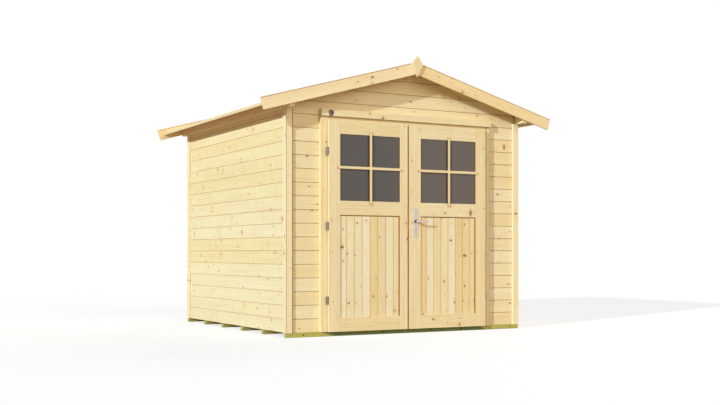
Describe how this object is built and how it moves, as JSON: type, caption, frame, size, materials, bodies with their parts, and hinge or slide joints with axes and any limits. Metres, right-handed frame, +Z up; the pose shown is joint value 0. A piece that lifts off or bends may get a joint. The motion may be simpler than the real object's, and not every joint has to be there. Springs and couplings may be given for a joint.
{
  "type": "wooden garden shed",
  "caption": "Square wooden garden shed of level boards on treated joists, with a low gable roof, barge boards and a framed, part-glazed double door with a lever handle.",
  "frame": {"origin": "on the ground under the middle of the shed", "axes": "+X across the front to the right, +Y from the front to the back, +Z up; the doors face -Y"},
  "size_m": [2.976, 2.706, 2.4432],
  "materials": {
    "spruce": "planed untreated spruce with small knots",
    "roof_boards": "planed spruce roof boards",
    "floor_boards": "planed spruce floor boards",
    "treated_timber": "pressure-treated green timber",
    "glass": "clear glazing",
    "hinge_steel": "zinc-plated steel",
    "handle_metal": "satin metal"
  },
  "bodies": {
    "shed": {"joists": "treated_timber", "floor": "floor_boards", "post_front_left": "spruce", "post_front_right": "spruce", "post_back_left": "spruce", "post_back_right": "spruce", "left_wall": "spruce", "right_wall": "spruce", "back_wall": "spruce", "front_wall_left": "spruce", "front_wall_right": "spruce", "front_wall_over_door": "spruce", "front_gable": "spruce", "back_gable": "spruce", "door_jambs": "spruce", "door_head": "spruce", "door_sill": "spruce", "door_drip_board": "spruce", "ridge_purlin": "spruce", "eave_purlins": "spruce", "roof_left": "roof_boards", "roof_right": "roof_boards", "eave_battens": "spruce", "barge_boards_left": "spruce", "barge_boards_right": "spruce", "apex_boards": "spruce", "frame_hinges_left": "hinge_steel", "frame_hinges_right": "hinge_steel"},
    "left_door": {"left_leaf_stiles": "spruce", "left_leaf_rails": "spruce", "left_leaf_panel": "spruce", "left_leaf_glass": "glass", "left_leaf_bars": "spruce", "left_leaf_hinges": "hinge_steel"},
    "right_door": {"right_leaf_stiles": "spruce", "right_leaf_rails": "spruce", "right_leaf_panel": "spruce", "right_leaf_glass": "glass", "right_leaf_bars": "spruce", "right_leaf_hinges": "hinge_steel", "handle_plates": "handle_metal"},
    "lever": {"lever_outer": "handle_metal", "lever_inner": "handle_metal", "lever_spindle": "handle_metal"}
  },
  "joints": [
    {"name": "left_door_hinge", "type": "hinge", "parent": "shed", "child": "left_door", "pos_m": [-0.8345, -1.2385, 0.9415], "axis": [0, 0, -1], "range_deg": [0, 150]},
    {"name": "right_door_hinge", "type": "hinge", "parent": "shed", "child": "right_door", "pos_m": [0.8105, -1.2385, 0.9415], "axis": [0, 0, 1], "range_deg": [0, 150]},
    {"name": "lever_turn", "type": "hinge", "parent": "right_door", "child": "lever", "pos_m": [0.042, -1.2385, 0.991], "axis": [0, 1, 0], "range_deg": [0, 45], "stiffness_Nm_per_rad": 1.5, "springref_deg": -28.65}
  ]
}
